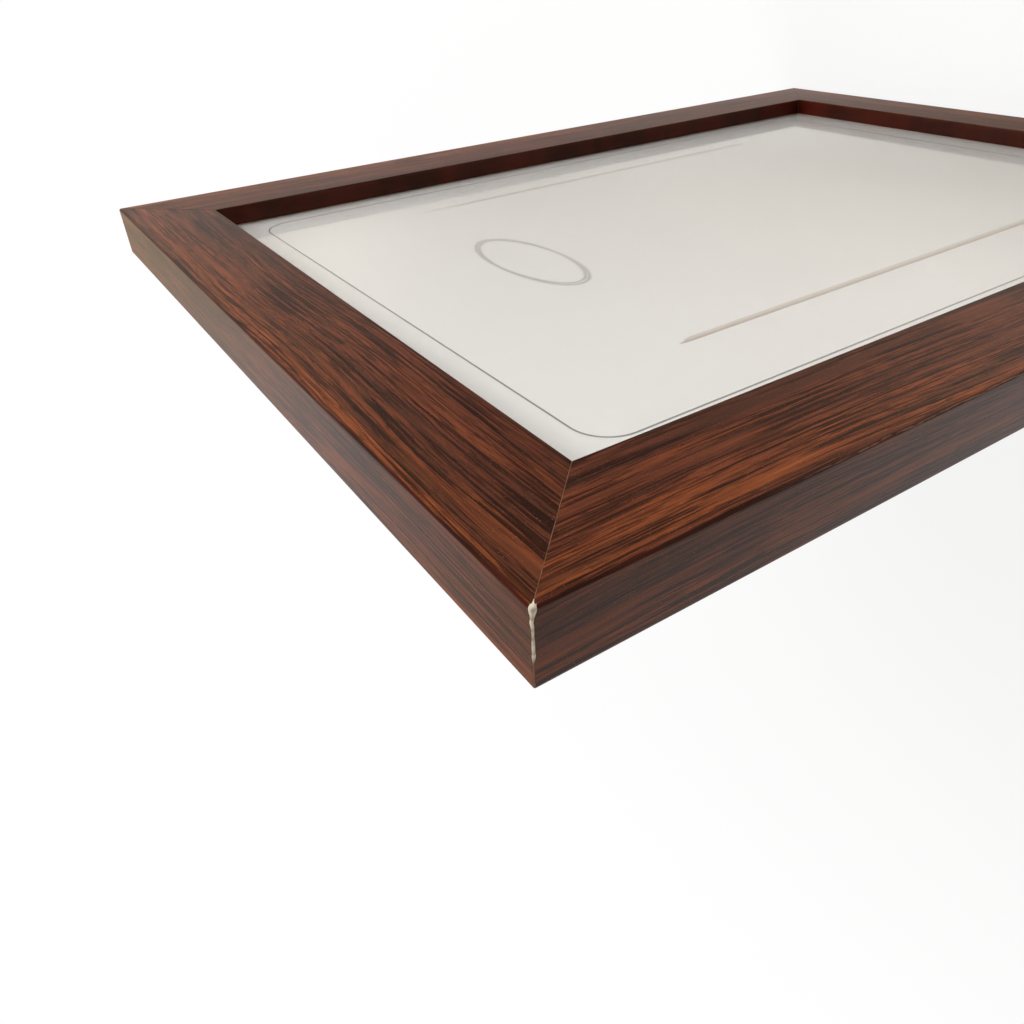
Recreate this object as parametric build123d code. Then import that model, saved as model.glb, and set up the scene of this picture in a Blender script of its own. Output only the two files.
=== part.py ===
from build123d import *

import os
from math import asin, atan2, cos, degrees, radians, sin, sqrt

# A certificate frame for one upright sheet of a standard office size, in millimetres.
# X runs to the right of someone who faces the front, Y from the front to the back, and Z up.
# The origin is the middle of the lower edge, on which the frame can stand.

# The sheet that the frame shows, and the layers behind the lip
SHEET_WIDTH = 210.0
SHEET_HEIGHT = 297.0
SHEET_THICKNESS = 0.25
SHEET_CLEARANCE = 0.5
GLAZING_THICKNESS = 1.2
BOARD_THICKNESS = 3.0

# The moulding, and the printed foil wrapped round it
RAIL_WIDTH = 26.0
RAIL_DEPTH = 15.5
LIP_THICKNESS = 6.0
REBATE_WIDTH = 5.5
FRONT_OUTER_RADIUS = 1.0
FRONT_INNER_RADIUS = 0.6
BACK_OUTER_RADIUS = 0.8
FOIL_THICKNESS = 0.3
FOIL_TURN = 5.0
FOIL_MITRE_SETBACK = 0.1

# The steel wedges driven across each mitre from behind
WEDGES_PER_CORNER = 2
WEDGE_LEG = 4.5
WEDGE_THICKNESS = 0.6
WEDGE_HEIGHT = 10.0
WEDGE_SINK = 0.3

# Rivets with a low round head and a tail spread flush in a countersink
RIVET_RADIUS = 1.5
RIVET_HEAD_RADIUS = 2.8
RIVET_HEAD_HEIGHT = 0.9
RIVET_FLARE_RADIUS = 2.2
RIVET_FLARE_DEPTH = 0.6

# The swivel clips on the board, and the groove in the rails that their tips turn into
CLIP_THICKNESS = 0.8
CLIP_INSET = 8.0
CLIP_HEAD_RADIUS = 5.0
CLIP_TIP_RADIUS = 3.0
CLIP_TAB_WIDTH = 5.0
CLIP_TAB_REACH = 7.0
CLIP_TAB_HEIGHT = 3.0
CLIP_SPACING = {"top": 120.0, "bottom": 120.0, "left": 150.0, "right": 150.0}
CLIP_RUNNING_CLEARANCE = 0.06
CLIP_HEAD_CLEARANCE = 0.05
GROOVE_ENGAGEMENT = 4.0
GROOVE_END_CLEARANCE = 1.0
GROOVE_SIDE_CLEARANCE = 0.4

# The sawtooth hangers, one for each way up
HANGER_LENGTH = 44.0
HANGER_HEIGHT = 9.0
HANGER_THICKNESS = 0.8
HANGER_EAR = 9.0
HANGER_SLOPE = 2.5
HANGER_RISE = 2.2
HANGER_INSET = 12.0
HANGER_TEETH = 8
HANGER_TOOTH_PITCH = 2.4
HANGER_TOOTH_DEPTH = 1.5

# The easel strut and its hinge
STRUT_HINGE_DROP = 57.0
STRUT_OPEN_ANGLE = 32.0
STRUT_THICKNESS = 3.0
STRUT_TOP_WIDTH = 36.0
STRUT_FOOT_WIDTH = 56.0
STRUT_TOP_CORNER = 8.0
STRUT_FOOT_CORNER = 4.0
STRUT_FOOT_GAP = 3.0
STRUT_TOP_GAP = 3.0
HINGE_PLATE = 0.8
HINGE_PIN_RADIUS = 0.8
HINGE_PIN_HEAD_RADIUS = 1.3
HINGE_PIN_HEAD_LENGTH = 0.6
HINGE_BARREL_WALL = 0.8
HINGE_BARREL_PITCH = 8.0
HINGE_END_CLEARANCE = 0.15
HINGE_RUNNING_CLEARANCE = 0.05
HINGE_LIFT = 0.3
HINGE_LEAF_CLEARANCE = 0.4
HINGE_LEAF_CORNER = 3.0
BOARD_LEAF_WIDTH = 36.0
BOARD_LEAF_HEIGHT = 22.0
BOARD_LEAF_RIVET_SPACING = 22.0
BOARD_LEAF_RIVET_RISE = 13.0
LEG_LEAF_WIDTH = 24.0
LEG_LEAF_HEIGHT = 26.0
LEG_LEAF_RIVET_SPACING = 12.0
LEG_LEAF_RIVET_DROP = 15.0
TONGUE_LENGTH = 6.0
TONGUE_CLEARANCE = 0.1

# Planes and edges that follow from those sizes
FRONT = -RAIL_DEPTH / 2
BACK = RAIL_DEPTH / 2
REBATE_WALL = RAIL_WIDTH - REBATE_WIDTH
BOARD_EDGE = REBATE_WALL + SHEET_CLEARANCE
OUTER_WIDTH = SHEET_WIDTH + 2 * BOARD_EDGE
OUTER_HEIGHT = SHEET_HEIGHT + 2 * BOARD_EDGE
LIP_BACK = FRONT + LIP_THICKNESS
GLAZING_BACK = LIP_BACK + GLAZING_THICKNESS
SHEET_BACK = GLAZING_BACK + SHEET_THICKNESS
BOARD_BACK = SHEET_BACK + BOARD_THICKNESS
CORE_BACK = BACK - FOIL_THICKNESS
GROOVE_FRONT = BOARD_BACK - GROOVE_SIDE_CLEARANCE
GROOVE_BACK = BOARD_BACK + CLIP_THICKNESS + GROOVE_SIDE_CLEARANCE
GROOVE_DEPTH = GROOVE_ENGAGEMENT + GROOVE_END_CLEARANCE
GROOVE_FLOOR = REBATE_WALL - GROOVE_DEPTH

# What carries a piece drawn on the lower side to each side, and that side's length
SIDES = {
    "top": (Pos(0, 0, OUTER_HEIGHT) * Rot(0, 180, 0), OUTER_WIDTH),
    "bottom": (Pos(0, 0, 0), OUTER_WIDTH),
    "left": (Pos(-OUTER_WIDTH / 2, 0, OUTER_HEIGHT / 2) * Rot(0, 90, 0), OUTER_HEIGHT),
    "right": (Pos(OUTER_WIDTH / 2, 0, OUTER_HEIGHT / 2) * Rot(0, -90, 0), OUTER_HEIGHT),
}


def slab(outline, near, far):
    """A plate whose outline is drawn in X and Z, from the depth near to the depth far."""
    return Pos(0, far, 0) * extrude(Plane.XZ * outline, amount=far - near)


def bar(radius, length, place):
    """A round bar along X, centred on a place."""
    return place * Rot(0, 90, 0) * Cylinder(radius, length)


def wrap_path(inset):
    """The way the foil goes round a rail's section, moved into the rail by an inset."""
    return FilletPolyline(
        (BACK - inset, FOIL_TURN),
        (BACK - inset, inset),
        (FRONT + inset, inset),
        (FRONT + inset, RAIL_WIDTH - inset),
        (LIP_BACK, RAIL_WIDTH - inset),
        radius=[
            BACK_OUTER_RADIUS - inset,
            FRONT_OUTER_RADIUS - inset,
            FRONT_INNER_RADIUS - inset,
        ],
    )


def foil_section():
    """The foil round the outer side, the front and the inner edge, turned onto the back."""
    outside = wrap_path(0)
    inside = wrap_path(FOIL_THICKNESS)
    return make_face(
        outside + inside + Line(outside @ 0, inside @ 0) + Line(outside @ 1, inside @ 1)
    )


def core_section():
    """The rail inside the foil, with its rebate and the groove for the clips."""
    inside = wrap_path(FOIL_THICKNESS)
    back_and_rebate = Polyline(
        inside @ 1,
        (LIP_BACK, REBATE_WALL),
        (GROOVE_FRONT, REBATE_WALL),
        (GROOVE_FRONT, GROOVE_FLOOR),
        (GROOVE_BACK, GROOVE_FLOOR),
        (GROOVE_BACK, REBATE_WALL),
        (CORE_BACK, REBATE_WALL),
        inside @ 0,
    )
    return make_face(inside + back_and_rebate)


def mitred(section, length, setback):
    """A section carried along X, with its ends cut at 45 degrees, set back from the mitre."""
    reach = length / 2 - setback * sqrt(2)
    plan = make_face(
        Polyline(
            (-reach - RAIL_WIDTH, -RAIL_WIDTH),
            (reach + RAIL_WIDTH, -RAIL_WIDTH),
            (reach - 2 * RAIL_WIDTH, 2 * RAIL_WIDTH),
            (-reach + 2 * RAIL_WIDTH, 2 * RAIL_WIDTH),
            close=True,
        )
    )
    whole = extrude(Plane.YZ * section, amount=length / 2, both=True)
    return whole & slab(plan, FRONT - RAIL_DEPTH, BACK + RAIL_DEPTH)


def corner_bends(near, far):
    """The wedges' bent shape between two depths, spread from the foil to the groove at each corner."""
    gap = (GROOVE_FLOOR - FOIL_TURN - WEDGES_PER_CORNER * WEDGE_LEG) / (WEDGES_PER_CORNER + 1)
    bend = make_face(
        Polyline(
            (0, 0),
            (WEDGE_LEG, 0),
            (WEDGE_LEG, WEDGE_THICKNESS),
            (WEDGE_THICKNESS, WEDGE_THICKNESS),
            (WEDGE_THICKNESS, WEDGE_LEG),
            (0, WEDGE_LEG),
            close=True,
        )
    )
    blade = slab(bend, near, far)
    half_width = OUTER_WIDTH / 2
    corners = [
        Pos(-half_width, 0, 0),
        Pos(-half_width, 0, OUTER_HEIGHT) * Rot(0, 90, 0),
        Pos(half_width, 0, OUTER_HEIGHT) * Rot(0, 180, 0),
        Pos(half_width, 0, 0) * Rot(0, 270, 0),
    ]
    blades = []
    for corner in corners:
        for index in range(WEDGES_PER_CORNER):
            apex = FOIL_TURN + gap + index * (WEDGE_LEG + gap)
            blades.append(corner * Pos(apex, 0, apex) * blade)
    return blades


def sheet(near, far):
    """A flat rectangle of the sheet's size, standing in the rebate."""
    outline = Pos(0, OUTER_HEIGHT / 2) * Rectangle(SHEET_WIDTH, SHEET_HEIGHT)
    return slab(outline, near, far)


def rivet(grip):
    """A rivet along Y: its head sits on y = 0, and its tail ends a grip in front of that."""
    dome = (RIVET_HEAD_RADIUS**2 + RIVET_HEAD_HEIGHT**2) / (2 * RIVET_HEAD_HEIGHT)
    half_turn = asin(RIVET_HEAD_RADIUS / dome) / 2
    middle = (dome * sin(half_turn), RIVET_HEAD_HEIGHT - dome * (1 - cos(half_turn)))
    head = ThreePointArc((0, RIVET_HEAD_HEIGHT), middle, (RIVET_HEAD_RADIUS, 0))
    shank = Polyline(
        head @ 1,
        (RIVET_RADIUS, 0),
        (RIVET_RADIUS, RIVET_FLARE_DEPTH - grip),
        (RIVET_FLARE_RADIUS, -grip),
        (0, -grip),
        head @ 0,
    )
    return revolve(make_face(head + shank), axis=Axis.Y)


def turn_clip():
    """A clip about the Y axis, flat on y = 0, with its tip down and its finger tab up."""
    reach = CLIP_INSET + SHEET_CLEARANCE + GROOVE_ENGAGEMENT
    head = Circle(CLIP_HEAD_RADIUS)
    tip = Pos(0, CLIP_TIP_RADIUS - reach) * Circle(CLIP_TIP_RADIUS)
    tail = Pos(0, CLIP_TAB_REACH / 2) * Rectangle(CLIP_TAB_WIDTH, CLIP_TAB_REACH)
    blade = make_hull(head.edges() + tip.edges())
    hole = Circle(RIVET_RADIUS + CLIP_RUNNING_CLEARANCE)
    plate = slab(blade + tail - hole, 0, CLIP_THICKNESS)
    lip = Pos(0, CLIP_TAB_REACH - CLIP_THICKNESS / 2) * Rectangle(CLIP_TAB_WIDTH, CLIP_THICKNESS)
    return plate + slab(lip, 0, CLIP_TAB_HEIGHT)


def hanger():
    """A sawtooth hanger on the lower side: a strip that bridges the board between two ears."""
    ear_end = HANGER_LENGTH / 2 - HANGER_EAR
    bridge_end = ear_end - HANGER_SLOPE
    underside = Polyline(
        (-HANGER_LENGTH / 2, 0),
        (-ear_end, 0),
        (-bridge_end, HANGER_RISE),
        (bridge_end, HANGER_RISE),
        (ear_end, 0),
        (HANGER_LENGTH / 2, 0),
    )
    edge = offset(underside, amount=HANGER_THICKNESS, side=Side.LEFT, kind=Kind.INTERSECTION)
    strip = extrude(make_face(edge), amount=HANGER_HEIGHT)
    row = HANGER_TEETH * HANGER_TOOTH_PITCH
    points = [(row / 2, HANGER_HEIGHT + HANGER_TOOTH_DEPTH), (-row / 2, HANGER_HEIGHT + HANGER_TOOTH_DEPTH)]
    for index in range(HANGER_TEETH):
        start = index * HANGER_TOOTH_PITCH - row / 2
        points.append((start, HANGER_HEIGHT))
        points.append((start + HANGER_TOOTH_PITCH / 2, HANGER_HEIGHT - HANGER_TOOTH_DEPTH))
    points.append((row / 2, HANGER_HEIGHT))
    notches = make_face(Polyline(points, close=True))
    teeth_cut = slab(notches, 0, HANGER_RISE + 2 * HANGER_THICKNESS)
    return Pos(0, BOARD_BACK, BOARD_EDGE + HANGER_INSET) * (strip - teeth_cut)


# The rails, each a core and its foil, and the wedges, driven in from behind to a little under the back
wedge_tail = CORE_BACK - WEDGE_SINK
wedge_nose = wedge_tail - WEDGE_HEIGHT
pieces = {"corner_wedges": Compound(corner_bends(wedge_nose, wedge_tail))}
wedge_slots = corner_bends(wedge_nose, BACK)
for side, (place, length) in SIDES.items():
    core = place * mitred(core_section(), length, 0)
    for slot in wedge_slots:
        core -= slot
    pieces["rail_" + side] = core
    pieces["foil_" + side] = place * mitred(foil_section(), length, FOIL_MITRE_SETBACK)

# The layers in the rebate
pieces["glazing"] = sheet(LIP_BACK, GLAZING_BACK)
pieces["insert_sheet"] = sheet(GLAZING_BACK, SHEET_BACK)
board = sheet(SHEET_BACK, BOARD_BACK)

# The swivel clips and their rivets, two on each side
clip_rivets = []
clip_seat = BOARD_BACK + CLIP_THICKNESS + CLIP_HEAD_CLEARANCE
for side, (place, length) in SIDES.items():
    for number, end in ((1, -1), (2, 1)):
        across = end * CLIP_SPACING[side] / 2
        pivot = BOARD_EDGE + CLIP_INSET
        pieces[f"clip_{side}_{number}"] = place * Pos(across, BOARD_BACK, pivot) * turn_clip()
        clip_rivet = rivet(clip_seat - SHEET_BACK)
        clip_rivets.append(place * Pos(across, clip_seat, pivot) * clip_rivet)
pieces["clip_rivets"] = Compound(clip_rivets)

# The hangers: teeth down when the sheet is upright, and when its left side is up
hanger_rivets = []
hanger_seat = BOARD_BACK + HANGER_THICKNESS
for name, side in (("portrait", "top"), ("landscape", "left")):
    place = SIDES[side][0]
    strip = place * hanger()
    for end in (-1, 1):
        across = end * (HANGER_LENGTH - HANGER_EAR) / 2
        inward = BOARD_EDGE + HANGER_INSET + HANGER_HEIGHT / 2
        pin = place * Pos(across, hanger_seat, inward) * rivet(hanger_seat - SHEET_BACK)
        strip -= pin
        hanger_rivets.append(pin)
    pieces["hanger_" + name] = strip
pieces["hanger_rivets"] = Compound(hanger_rivets)

# The strut's hinge: two leaves, a pin, and a tongue that stops the leg when it is open
barrel_radius = HINGE_PIN_RADIUS + HINGE_BARREL_WALL
barrel_length = HINGE_BARREL_PITCH - HINGE_END_CLEARANCE
axis_depth = BOARD_BACK + HINGE_LIFT + barrel_radius
axis_height = OUTER_HEIGHT - BOARD_EDGE - STRUT_HINGE_DROP
axis = Pos(0, axis_depth, axis_height)
leaf_start = barrel_radius + HINGE_LEAF_CLEARANCE

pin_length = 3 * HINGE_BARREL_PITCH
hinge_pin = bar(HINGE_PIN_RADIUS, pin_length, axis)
for end in (-1, 1):
    head_place = Pos(end * (pin_length + HINGE_PIN_HEAD_LENGTH) / 2, 0, 0)
    hinge_pin += bar(HINGE_PIN_HEAD_RADIUS, HINGE_PIN_HEAD_LENGTH, axis * head_place)
pieces["hinge_pin"] = hinge_pin

board_leaf_outline = Pos(0, axis_height + (leaf_start + BOARD_LEAF_HEIGHT) / 2) * RectangleRounded(
    BOARD_LEAF_WIDTH, BOARD_LEAF_HEIGHT - leaf_start, HINGE_LEAF_CORNER
)
leg_leaf_outline = Pos(0, axis_height - (leaf_start + LEG_LEAF_HEIGHT) / 2) * RectangleRounded(
    LEG_LEAF_WIDTH, LEG_LEAF_HEIGHT - leaf_start, HINGE_LEAF_CORNER
)
neck = Rectangle(barrel_length, leaf_start + HINGE_LEAF_CORNER)
neck_middle = (leaf_start + HINGE_LEAF_CORNER) / 2
for end in (-1, 1):
    board_leaf_outline += Pos(end * HINGE_BARREL_PITCH, axis_height + neck_middle) * neck
leg_leaf_outline += Pos(0, axis_height - neck_middle) * neck

board_leaf = slab(board_leaf_outline, BOARD_BACK, BOARD_BACK + HINGE_PLATE)
for end in (-1, 1):
    board_leaf += bar(barrel_radius, barrel_length, axis * Pos(end * HINGE_BARREL_PITCH, 0, 0))
board_leaf -= bar(HINGE_PIN_RADIUS, pin_length, axis)

leg_leaf_front = BOARD_BACK + HINGE_LIFT
leg_front = leg_leaf_front + HINGE_PLATE
leg_back = leg_front + STRUT_THICKNESS
tongue_front = BOARD_BACK + HINGE_PLATE + TONGUE_CLEARANCE - axis_depth
tongue_outline = Pos(0, TONGUE_LENGTH / 2) * Rectangle(barrel_length, TONGUE_LENGTH)
tongue = slab(tongue_outline, tongue_front, tongue_front + HINGE_PLATE)
leg_leaf = slab(leg_leaf_outline, leg_leaf_front, leg_front)
leg_leaf += bar(barrel_radius, barrel_length, axis)
leg_leaf += axis * Rot(-STRUT_OPEN_ANGLE, 0, 0) * tongue
leg_leaf -= bar(HINGE_PIN_RADIUS + HINGE_RUNNING_CLEARANCE, pin_length, axis)

board_leaf_rivets = []
leg_leaf_rivets = []
for end in (-1, 1):
    seat = BOARD_BACK + HINGE_PLATE
    rise = axis_height + BOARD_LEAF_RIVET_RISE
    across = end * BOARD_LEAF_RIVET_SPACING / 2
    board_leaf_rivets.append(Pos(across, seat, rise) * rivet(seat - SHEET_BACK))
    drop = axis_height - LEG_LEAF_RIVET_DROP
    across = end * LEG_LEAF_RIVET_SPACING / 2
    leg_leaf_rivets.append(Pos(across, leg_back, drop) * rivet(leg_back - leg_leaf_front))
pieces["board_leaf_rivets"] = Compound(board_leaf_rivets)
pieces["leg_leaf_rivets"] = Compound(leg_leaf_rivets)

# The strut's leg, whose foot is cut to stand flat on the table when the leg is open
leg_middle = (leg_front + leg_back) / 2
leg_top = axis_height - STRUT_TOP_GAP
foot = BOARD_EDGE + STRUT_FOOT_GAP
turn = radians(STRUT_OPEN_ANGLE)
foot_depth = axis_depth + (leg_middle - axis_depth) * cos(turn) + (axis_height - foot) * sin(turn)
foot_height = axis_height + (leg_middle - axis_depth) * sin(turn) - (axis_height - foot) * cos(turn)
lean = degrees(atan2(foot_height, foot_depth - BACK))
leg_outline = make_face(
    FilletPolyline(
        (-STRUT_TOP_WIDTH / 2, leg_top),
        (STRUT_TOP_WIDTH / 2, leg_top),
        (STRUT_FOOT_WIDTH / 2, foot),
        (-STRUT_FOOT_WIDTH / 2, foot),
        radius=[STRUT_TOP_CORNER, STRUT_TOP_CORNER, STRUT_FOOT_CORNER, STRUT_FOOT_CORNER],
        close=True,
    )
)
leg = slab(leg_outline, leg_front, leg_back)
foot_cut = Pos(0, -STRUT_FOOT_WIDTH / 2) * Rectangle(2 * STRUT_FOOT_WIDTH, STRUT_FOOT_WIDTH)
foot_slope = Rot(lean - STRUT_OPEN_ANGLE, 0, 0)
leg -= Pos(0, leg_back, foot) * foot_slope * slab(foot_cut, -2 * STRUT_THICKNESS, STRUT_THICKNESS)

# Every rivet's hole in what it passes through
for pin in clip_rivets + hanger_rivets + board_leaf_rivets:
    board -= pin
for pin in board_leaf_rivets:
    board_leaf -= pin
for pin in leg_leaf_rivets:
    leg_leaf -= pin
    leg -= pin
pieces["backing_board"] = board
pieces["hinge_board_leaf"] = board_leaf
pieces["hinge_leg_leaf"] = leg_leaf
pieces["strut_leg"] = leg

os.makedirs("parts", exist_ok=True)
for name, shape in pieces.items():
    export_step(shape, f"parts/{name}.step")
print(f"outer size {OUTER_WIDTH} x {RAIL_DEPTH} x {OUTER_HEIGHT}, lean on the open strut {lean:.1f} degrees")
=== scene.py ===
"""Looks of a certificate frame: foil-wrapped moulding, glazing, printed insert, board, clips and strut."""

import math

import bpy
import numpy as np
from mathutils import Matrix, Vector


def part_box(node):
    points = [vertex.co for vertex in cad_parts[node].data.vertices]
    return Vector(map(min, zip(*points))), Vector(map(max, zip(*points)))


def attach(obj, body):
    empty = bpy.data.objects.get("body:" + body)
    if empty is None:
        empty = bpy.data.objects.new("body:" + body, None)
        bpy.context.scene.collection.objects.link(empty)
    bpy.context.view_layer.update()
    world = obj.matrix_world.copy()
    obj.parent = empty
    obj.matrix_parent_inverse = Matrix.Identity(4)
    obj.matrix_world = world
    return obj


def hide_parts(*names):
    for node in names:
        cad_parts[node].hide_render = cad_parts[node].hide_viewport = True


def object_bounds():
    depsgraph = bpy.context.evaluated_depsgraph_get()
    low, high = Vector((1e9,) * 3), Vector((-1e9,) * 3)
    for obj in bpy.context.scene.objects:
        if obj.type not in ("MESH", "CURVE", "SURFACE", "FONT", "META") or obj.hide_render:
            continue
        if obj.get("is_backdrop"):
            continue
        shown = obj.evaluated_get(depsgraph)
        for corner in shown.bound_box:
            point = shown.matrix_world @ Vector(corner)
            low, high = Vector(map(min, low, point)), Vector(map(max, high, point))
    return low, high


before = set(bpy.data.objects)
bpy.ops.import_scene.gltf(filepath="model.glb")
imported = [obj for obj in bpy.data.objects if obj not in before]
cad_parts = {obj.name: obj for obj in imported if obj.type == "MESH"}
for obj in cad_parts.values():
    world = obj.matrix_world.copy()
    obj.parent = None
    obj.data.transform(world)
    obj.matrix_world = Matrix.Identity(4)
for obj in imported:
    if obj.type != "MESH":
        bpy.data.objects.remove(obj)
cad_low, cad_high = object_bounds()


# The rails' cores: fine wood-fibre board, moulded to the section with its rebate and clip groove.
# The saw leaves the mitres and the back bare, so the back shows raw tan board between the foil's edges.
MM = 0.001
FLECK_LENGTH = 0.9 * MM
FLECK_WIDTH = 0.3 * MM
FIBREBOARD_CLOUD = 18 * MM
# A colour Mix node's two colours and its result, by number, because its sockets share their names
MIX_A, MIX_B, MIXED = 6, 7, 2


def linear(hex_colour):
    """The linear RGBA of an sRGB hex value: each channel goes through the sRGB curve's inverse."""
    srgb = np.array([int(hex_colour[start:start + 2], 16) for start in (1, 3, 5)]) / 255
    rgb = np.where(srgb <= 0.04045, srgb / 12.92, ((srgb + 0.055) / 1.055) ** 2.4)
    return (*rgb.tolist(), 1.0)


def add(tree, kind, inputs=None, **settings):
    """Add a node, give it its settings, and set each input or link it where the value is a socket."""
    node = tree.nodes.new("ShaderNode" + kind)
    for name, value in settings.items():
        setattr(node, name, value)
    for key, value in (inputs or {}).items():
        if isinstance(value, bpy.types.NodeSocket):
            tree.links.new(value, node.inputs[key])
        else:
            node.inputs[key].default_value = value
    return node


def start_material(name):
    """A new material, its node tree and its Principled shader, which is joined to the output."""
    material = bpy.data.materials.new(name)
    material.use_nodes = True
    tree = material.node_tree
    return material, tree, tree.nodes["Principled BSDF"]


def dress(material, *nodes):
    """Put a material on CAD nodes, in place of what their slots hold."""
    for node in nodes:
        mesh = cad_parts[node].data
        mesh.materials.clear()
        mesh.materials.append(material)


# Raw fibreboard: pressed wood fibre, sawn and bare. The eye sees fine tan flecks and a soft mottle.
raw_fibreboard, tree, shader = start_material("raw_fibreboard")
place = add(tree, "TexCoord").outputs["Object"]
fleck_scale = (1 / FLECK_LENGTH, 1 / FLECK_WIDTH, 1 / FLECK_LENGTH)
fleck_place = add(tree, "Mapping", {"Vector": place, "Scale": fleck_scale}).outputs[0]
flecks = {"Vector": fleck_place, "Scale": 1.0, "Detail": 3.0, "Roughness": 0.65}
flecks = add(tree, "TexNoise", flecks).outputs[0]
cloud = add(tree, "TexNoise", {"Vector": place, "Scale": 1 / FIBREBOARD_CLOUD, "Detail": 2.0}).outputs[0]
contrast = add(tree, "MapRange", {"Value": flecks, "From Min": 0.3, "From Max": 0.7}).outputs[0]
flecked = {0: contrast, MIX_A: linear("#93734f"), MIX_B: linear("#bfa17a")}
flecked = add(tree, "Mix", flecked, data_type="RGBA").outputs[MIXED]
mottled = {0: cloud, MIX_A: flecked, MIX_B: linear("#b08f66")}
mottled = add(tree, "Mix", mottled, data_type="RGBA").outputs[MIXED]
bump = add(tree, "Bump", {"Height": flecks, "Strength": 0.4, "Distance": 0.06 * MM})
tree.links.new(mottled, shader.inputs["Base Color"])
tree.links.new(bump.outputs[0], shader.inputs["Normal"])
shader.inputs["Roughness"].default_value = 0.85
dress(raw_fibreboard, "rail_top", "rail_bottom", "rail_left", "rail_right")


# The foil: paper printed as dark rosewood and lacquered, wrapped hot round each rail's section.
# It covers the outer side, the front and the lip, and turns a few millimetres onto the back.
# It was cut with the mitres, so it stops a hair short of them, and one corner has lost a strip of it.
OBJECT_WIDTH = cad_high.x - cad_low.x
OBJECT_HEIGHT = cad_high.z - cad_low.z
FOIL_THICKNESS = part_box("rail_left")[0].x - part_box("foil_left")[0].x
RAIL_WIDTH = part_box("foil_left")[1].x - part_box("foil_left")[0].x
RAIL_FRONT = cad_low.y
RAIL_BACK = cad_high.y
LIP_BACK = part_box("glazing")[0].y
FOIL_TURN = 5.0 * MM
BACK_OUTER_RADIUS = 0.8 * MM
FRONT_OUTER_RADIUS = 0.7 * MM
FRONT_INNER_RADIUS = 0.25 * MM
LEAST_RADIUS = 0.05 * MM
MITRE_SETBACK = 0.07 * MM * math.sqrt(2)
RUN_STEPS = 61
ARC_STEPS = 9
FOIL_SECTIONS = 49
SHARP_ANGLE = math.radians(35)

# Where each rail's outer edge has its middle, the way along it, the way in, and its length
RAILS = {
    "top": ((0, OBJECT_HEIGHT), (-1, 0), (0, -1), OBJECT_WIDTH),
    "bottom": ((0, 0), (1, 0), (0, 1), OBJECT_WIDTH),
    "left": ((-OBJECT_WIDTH / 2, OBJECT_HEIGHT / 2), (0, -1), (1, 0), OBJECT_HEIGHT),
    "right": ((OBJECT_WIDTH / 2, OBJECT_HEIGHT / 2), (0, 1), (-1, 0), OBJECT_HEIGHT),
}

# The chip at the upper left corner: its narrow base, its uneven edge, where it rises and fades behind the
# front, and how far in from the outer side it laps onto the front, all in millimetres
CHIP_BASE = 0.15
CHIP_UNEVEN = 0.14
CHIP_RISE = (-0.3, 0.5)
CHIP_FADE = (10.0, 0.8)
CHIP_LAP = 1.1
CHIP_SEED = 3
WAVE_LENGTHS = np.array([3.1, 1.7, 0.9, 0.45])
WAVE_SHARES = np.array([0.22, 0.2, 0.16, 0.1])
# The chip's lump, knob and nick: how far each is behind the front, and its half width, in millimetres
CHIP_BUMPS = ((0.6, 0.9), (2.7, 0.7), (14.4, 0.35))
# How much wider the chip is on each rail: all along, at the lump, at the knob and at the nick, in millimetres
CHIP_WIDTHS = {"top": (0.04, 0.52, 0.30, 0.20), "left": (0.20, 0.48, -0.14, 0.15)}


def skin(name, rings, looped=False, grain=None):
    """A closed mesh over rings of points.

    Each ring is joined to the next by quads. An open row of rings gets its first and last ring filled
    by quads between the points that face each other, and a looped row joins its last ring to its first.
    The signed volume, a third of each face's flux, tells whether the faces have to be turned round.
    """
    count, size, _ = rings.shape
    here = np.arange(count * size).reshape(count, size)
    beside = np.roll(here, -1, axis=1)
    quads = np.stack([here, beside, np.roll(beside, -1, axis=0), np.roll(here, -1, axis=0)], axis=-1)
    if looped:
        faces = quads.reshape(-1, 4)
    else:
        step = np.arange(size // 2 - 1)
        ladder = np.stack([step, step + 1, size - 2 - step, size - 1 - step], axis=-1)
        faces = np.concatenate([quads[:-1].reshape(-1, 4), here[0][ladder][:, ::-1], here[-1][ladder]])
    points = rings.reshape(-1, 3)
    corner = points[faces]
    diagonals = np.cross(corner[:, 2] - corner[:, 0], corner[:, 3] - corner[:, 1])
    if np.einsum("ij,ij->", diagonals, corner.mean(axis=1)) < 0:
        faces = faces[:, ::-1]
    mesh = bpy.data.meshes.new(name)
    mesh.from_pydata(points.tolist(), [], faces.tolist())
    if grain is not None:
        layer = mesh.uv_layers.new(name="grain")
        layer.data.foreach_set("uv", grain.reshape(-1, 2)[faces.ravel()].astype(np.float32).ravel())
    mesh.shade_smooth()
    mesh.set_sharp_from_angle(angle=SHARP_ANGLE)
    return mesh


def show(mesh, body, slot, material, *replaced):
    """Stand a mesh in the scene on its body, with its material, for the nodes it replaces. The slot is not
    used.
    """
    piece = bpy.data.objects.new(mesh.name, mesh)
    bpy.context.collection.objects.link(piece)
    mesh.materials.append(material)
    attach(piece, body)
    if replaced:
        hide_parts(*replaced)


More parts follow.
